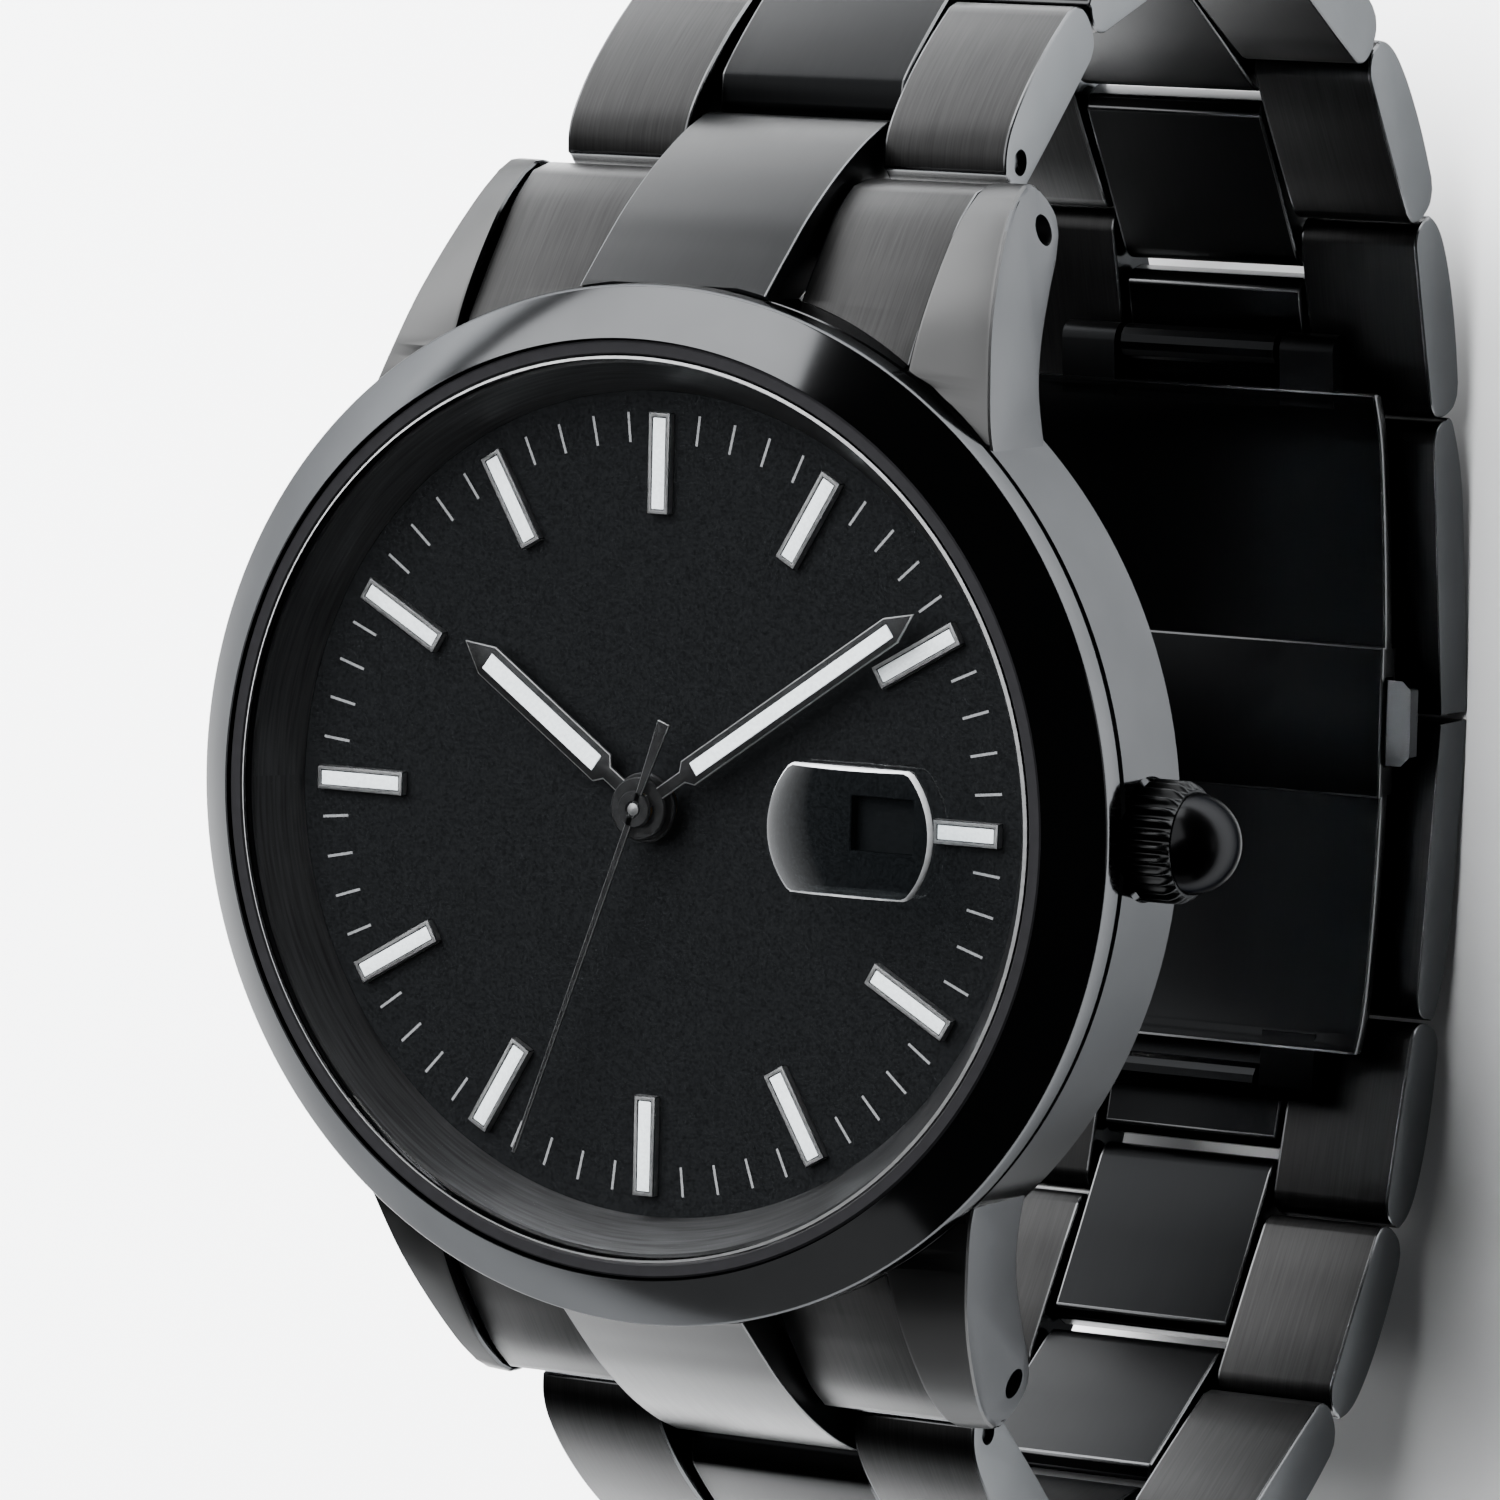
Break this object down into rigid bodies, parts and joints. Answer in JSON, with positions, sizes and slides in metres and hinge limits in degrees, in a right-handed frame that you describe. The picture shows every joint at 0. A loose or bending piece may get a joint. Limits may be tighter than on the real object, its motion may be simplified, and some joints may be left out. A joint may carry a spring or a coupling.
{
  "type": "wristwatch",
  "caption": "Black steel automatic wristwatch with date lens, ball crown, H-link bracelet and a folding butterfly clasp.",
  "frame": {"origin": "centre of the outer face of the glass in the case back, where the watch rests on the wrist", "axes": "+Z out of the dial, +Y to 12 o'clock, +X to 3 o'clock and the crown"},
  "size_m": [0.0436, 0.0696, 0.0543],
  "materials": {
    "black_polished": "polished black PVD steel",
    "black_brushed": "brushed black PVD steel",
    "clasp_steel": "satin black PVD steel",
    "steel": "plain steel",
    "movement_metal": "rhodium-plated brass with fine brushing",
    "brass": "plain brass",
    "hand_black": "blackened hand with a white luminous filling",
    "dial_black": "matte black",
    "rubber": "matte black",
    "white_plastic": "matte white",
    "sapphire": "clear polished"
  },
  "bodies": {
    "case": {"mid_case": "black_polished", "bezel": "black_polished", "crystal_gasket": "rubber", "crystal": "sapphire", "date_magnifier": "sapphire", "rehaut_ring": "black_brushed", "dial": "dial_black", "case_back": "black_brushed", "case_back_glass": "sapphire", "case_back_gasket": "rubber", "crown_tube": "steel", "movement_holder": "white_plastic", "main_plate": "movement_metal", "barrel_bridge": "movement_metal", "train_bridge": "movement_metal", "balance_bridge": "movement_metal", "rotor_axle": "steel", "end_link_12": "black_brushed", "end_link_6": "black_brushed", "spring_bar_12": "steel", "spring_bar_6": "steel"},
    "hour": {"hour_hand": "hand_black", "hour_wheel": "brass"},
    "minute": {"minute_hand": "hand_black", "cannon_pinion": "brass"},
    "seconds": {"seconds_hand": "hand_black", "fourth_wheel": "brass"},
    "third_wheel": {"third_wheel": "brass"},
    "escape_wheel": {"escape_wheel": "steel"},
    "pallet_fork": {"pallet_fork": "steel"},
    "balance_wheel": {"balance_wheel": "brass"},
    "mainspring_barrel": {"mainspring_barrel": "movement_metal"},
    "ratchet_wheel": {"ratchet_wheel": "steel"},
    "crown_wheel": {"crown_wheel": "steel"},
    "date_ring": {"date_ring": "white_plastic"},
    "rotor": {"rotor": "movement_metal"},
    "winding_pinion": {"winding_pinion": "steel"},
    "crown": {"crown": "black_polished", "winding_stem": "steel", "crown_gasket": "rubber"},
    "clasp_base": {"clasp_base": "clasp_steel"},
    "clasp_button_left": {"clasp_button_left": "clasp_steel"},
    "clasp_button_right": {"clasp_button_right": "clasp_steel"},
    "link_6_1": {"link_6_1": "black_brushed"},
    "link_6_2": {"link_6_2": "black_brushed"},
    "link_6_3": {"link_6_3": "black_brushed"},
    "link_6_4": {"link_6_4": "black_brushed"},
    "link_6_5": {"link_6_5": "black_brushed"},
    "link_6_6": {"link_6_6": "black_brushed"},
    "clasp_end_6": {"clasp_end_6": "black_brushed"},
    "clasp_arm_6": {"clasp_arm_6": "clasp_steel"},
    "link_12_1": {"link_12_1": "black_brushed"},
    "link_12_2": {"link_12_2": "black_brushed"},
    "link_12_3": {"link_12_3": "black_brushed"},
    "link_12_4": {"link_12_4": "black_brushed"},
    "link_12_5": {"link_12_5": "black_brushed"},
    "link_12_6": {"link_12_6": "black_brushed"},
    "clasp_end_12": {"clasp_end_12": "black_brushed"},
    "clasp_arm_12": {"clasp_arm_12": "clasp_steel"}
  },
  "joints": [
    {"name": "seconds_turn", "type": "hinge", "parent": "case", "child": "seconds", "pos_m": [0, 0, 0.009], "axis": [0, 0, -1], "continuous": true},
    {"name": "minute_turn", "type": "hinge", "parent": "case", "child": "minute", "pos_m": [0, 0, 0.009], "axis": [0, 0, -1], "continuous": true},
    {"name": "hour_turn", "type": "hinge", "parent": "case", "child": "hour", "pos_m": [0, 0, 0.009], "axis": [0, 0, -1], "continuous": true},
    {"name": "third_wheel_turn", "type": "hinge", "parent": "case", "child": "third_wheel", "pos_m": [0.0034, -0.0033, 0.005], "axis": [0, 0, -1], "continuous": true},
    {"name": "escape_wheel_turn", "type": "hinge", "parent": "case", "child": "escape_wheel", "pos_m": [-0.003, -0.0036, 0.005], "axis": [0, 0, -1], "continuous": true},
    {"name": "barrel_turn", "type": "hinge", "parent": "case", "child": "mainspring_barrel", "pos_m": [0.004, 0.0056, 0.006], "axis": [0, 0, -1], "continuous": true},
    {"name": "pallet_swing", "type": "hinge", "parent": "case", "child": "pallet_fork", "pos_m": [-0.00555, -0.00411, 0.0057], "axis": [0, 0, 1], "range_deg": [-5, 5]},
    {"name": "balance_swing", "type": "hinge", "parent": "case", "child": "balance_wheel", "pos_m": [-0.007, -0.0044, 0.0048], "axis": [0, 0, 1], "range_deg": [-270, 270], "stiffness_Nm_per_rad": 0.00000007},
    {"name": "date_turn", "type": "hinge", "parent": "case", "child": "date_ring", "pos_m": [0, 0, 0.0079], "axis": [0, 0, -1], "continuous": true},
    {"name": "rotor_turn", "type": "hinge", "parent": "case", "child": "rotor", "pos_m": [0, 0, 0.0028], "axis": [0, 0, 1], "continuous": true},
    {"name": "crown_turn", "type": "hinge", "parent": "case", "child": "winding_pinion", "pos_m": [0.009, 0, 0.0062], "axis": [1, 0, 0], "continuous": true},
    {"name": "crown_pull", "type": "slide", "parent": "winding_pinion", "child": "crown", "axis": [1, 0, 0], "range_m": [0, 0.0012]},
    {"name": "crown_wheel_turn", "type": "hinge", "parent": "case", "child": "crown_wheel", "pos_m": [0.0086, 0.0029, 0.0047], "axis": [0, 0, 1], "continuous": true},
    {"name": "ratchet_turn", "type": "hinge", "parent": "case", "child": "ratchet_wheel", "pos_m": [0.004, 0.0056, 0.0047], "axis": [0, 0, 1], "continuous": true},
    {"name": "bracelet_fold", "type": "hinge", "parent": "case", "child": "link_6_1", "pos_m": [0, -0.02471, -0.00101], "axis": [1, 0, 0], "range_deg": [0, 37.6]},
    {"name": "link_6_2_hinge", "type": "hinge", "parent": "link_6_1", "child": "link_6_2", "pos_m": [0, -0.0306, -0.0076], "axis": [1, 0, 0], "range_deg": [-10.12, 0.05]},
    {"name": "link_6_3_hinge", "type": "hinge", "parent": "link_6_2", "child": "link_6_3", "pos_m": [0, -0.03333, -0.01601], "axis": [1, 0, 0], "range_deg": [-28.09, 0.05]},
    {"name": "link_6_4_hinge", "type": "hinge", "parent": "link_6_3", "child": "link_6_4", "pos_m": [0, -0.03226, -0.02478], "axis": [1, 0, 0], "range_deg": [-42.05, 0.05]},
    {"name": "link_6_5_hinge", "type": "hinge", "parent": "link_6_4", "child": "link_6_5", "pos_m": [0, -0.02757, -0.03228], "axis": [1, 0, 0], "range_deg": [-16.27, 0.05]},
    {"name": "link_6_6_hinge", "type": "hinge", "parent": "link_6_5", "child": "link_6_6", "pos_m": [0, -0.02016, -0.03709], "axis": [1, 0, 0], "range_deg": [-0.05, 15.05]},
    {"name": "clasp_end_6_hinge", "type": "hinge", "parent": "link_6_6", "child": "clasp_end_6", "pos_m": [0, -0.01162, -0.03938], "axis": [1, 0, 0], "range_deg": [-0.05, 15.05]},
    {"name": "clasp_arm_6_hinge", "type": "hinge", "parent": "clasp_end_6", "child": "clasp_arm_6", "pos_m": [0, -0.0026, -0.04038], "axis": [1, 0, 0], "range_deg": [-31.3, 0.05]},
    {"name": "link_12_1_hinge", "type": "hinge", "parent": "case", "child": "link_12_1", "pos_m": [0, 0.02471, -0.00101], "axis": [-1, 0, 0], "range_deg": [-0.05, 37.65]},
    {"name": "link_12_2_hinge", "type": "hinge", "parent": "link_12_1", "child": "link_12_2", "pos_m": [0, 0.0306, -0.0076], "axis": [-1, 0, 0], "range_deg": [-10.12, 0.05]},
    {"name": "link_12_3_hinge", "type": "hinge", "parent": "link_12_2", "child": "link_12_3", "pos_m": [0, 0.03333, -0.01601], "axis": [-1, 0, 0], "range_deg": [-28.09, 0.05]},
    {"name": "link_12_4_hinge", "type": "hinge", "parent": "link_12_3", "child": "link_12_4", "pos_m": [0, 0.03226, -0.02478], "axis": [-1, 0, 0], "range_deg": [-42.05, 0.05]},
    {"name": "link_12_5_hinge", "type": "hinge", "parent": "link_12_4", "child": "link_12_5", "pos_m": [0, 0.02757, -0.03228], "axis": [-1, 0, 0], "range_deg": [-16.27, 0.05]},
    {"name": "link_12_6_hinge", "type": "hinge", "parent": "link_12_5", "child": "link_12_6", "pos_m": [0, 0.02016, -0.03709], "axis": [-1, 0, 0], "range_deg": [-0.05, 15.05]},
    {"name": "clasp_end_12_hinge", "type": "hinge", "parent": "link_12_6", "child": "clasp_end_12", "pos_m": [0, 0.01162, -0.03938], "axis": [-1, 0, 0], "range_deg": [-0.05, 15.05]},
    {"name": "clasp_arm_12_hinge", "type": "hinge", "parent": "clasp_end_12", "child": "clasp_arm_12", "pos_m": [0, 0.0026, -0.04038], "axis": [-1, 0, 0], "range_deg": [-31.3, 0.05]},
    {"name": "clasp_base_hinge", "type": "hinge", "parent": "clasp_arm_6", "child": "clasp_base", "pos_m": [0, -0.0155, -0.0361], "axis": [1, 0, 0], "range_deg": [-0.05, 60.03]},
    {"name": "button_left_push", "type": "slide", "parent": "clasp_base", "child": "clasp_button_left", "axis": [1, 0, 0], "range_m": [0, 0.0006], "stiffness_N_per_m": 200},
    {"name": "button_right_push", "type": "slide", "parent": "clasp_base", "child": "clasp_button_right", "axis": [-1, 0, 0], "range_m": [0, 0.0006], "stiffness_N_per_m": 200}
  ],
  "couplings": [
    {"joint": "minute_turn", "follows": "seconds_turn", "ratio": 0.016667},
    {"joint": "hour_turn", "follows": "seconds_turn", "ratio": 0.0013889},
    {"joint": "third_wheel_turn", "follows": "seconds_turn", "ratio": -0.13333},
    {"joint": "escape_wheel_turn", "follows": "seconds_turn", "ratio": -10},
    {"joint": "barrel_turn", "follows": "seconds_turn", "ratio": -0.002381},
    {"joint": "crown_wheel_turn", "follows": "crown_turn", "ratio": 0.5},
    {"joint": "ratchet_turn", "follows": "crown_turn", "ratio": -0.5},
    {"joint": "link_6_2_hinge", "follows": "bracelet_fold", "ratio": -0.26784},
    {"joint": "link_6_3_hinge", "follows": "bracelet_fold", "ratio": -0.74578},
    {"joint": "link_6_4_hinge", "follows": "bracelet_fold", "ratio": -1.1169},
    {"joint": "link_6_5_hinge", "follows": "bracelet_fold", "ratio": -0.43133},
    {"joint": "link_6_6_hinge", "follows": "bracelet_fold", "ratio": 0.39889},
    {"joint": "clasp_end_6_hinge", "follows": "bracelet_fold", "ratio": 0.39889},
    {"joint": "clasp_arm_6_hinge", "follows": "bracelet_fold", "ratio": -0.83119},
    {"joint": "link_12_1_hinge", "follows": "bracelet_fold", "ratio": 1},
    {"joint": "link_12_2_hinge", "follows": "bracelet_fold", "ratio": -0.26784},
    {"joint": "link_12_3_hinge", "follows": "bracelet_fold", "ratio": -0.74578},
    {"joint": "link_12_4_hinge", "follows": "bracelet_fold", "ratio": -1.1169},
    {"joint": "link_12_5_hinge", "follows": "bracelet_fold", "ratio": -0.43133},
    {"joint": "link_12_6_hinge", "follows": "bracelet_fold", "ratio": 0.39889},
    {"joint": "clasp_end_12_hinge", "follows": "bracelet_fold", "ratio": 0.39889},
    {"joint": "clasp_arm_12_hinge", "follows": "bracelet_fold", "ratio": -0.83119},
    {"joint": "clasp_base_hinge", "follows": "bracelet_fold", "ratio": 1.5953}
  ]
}
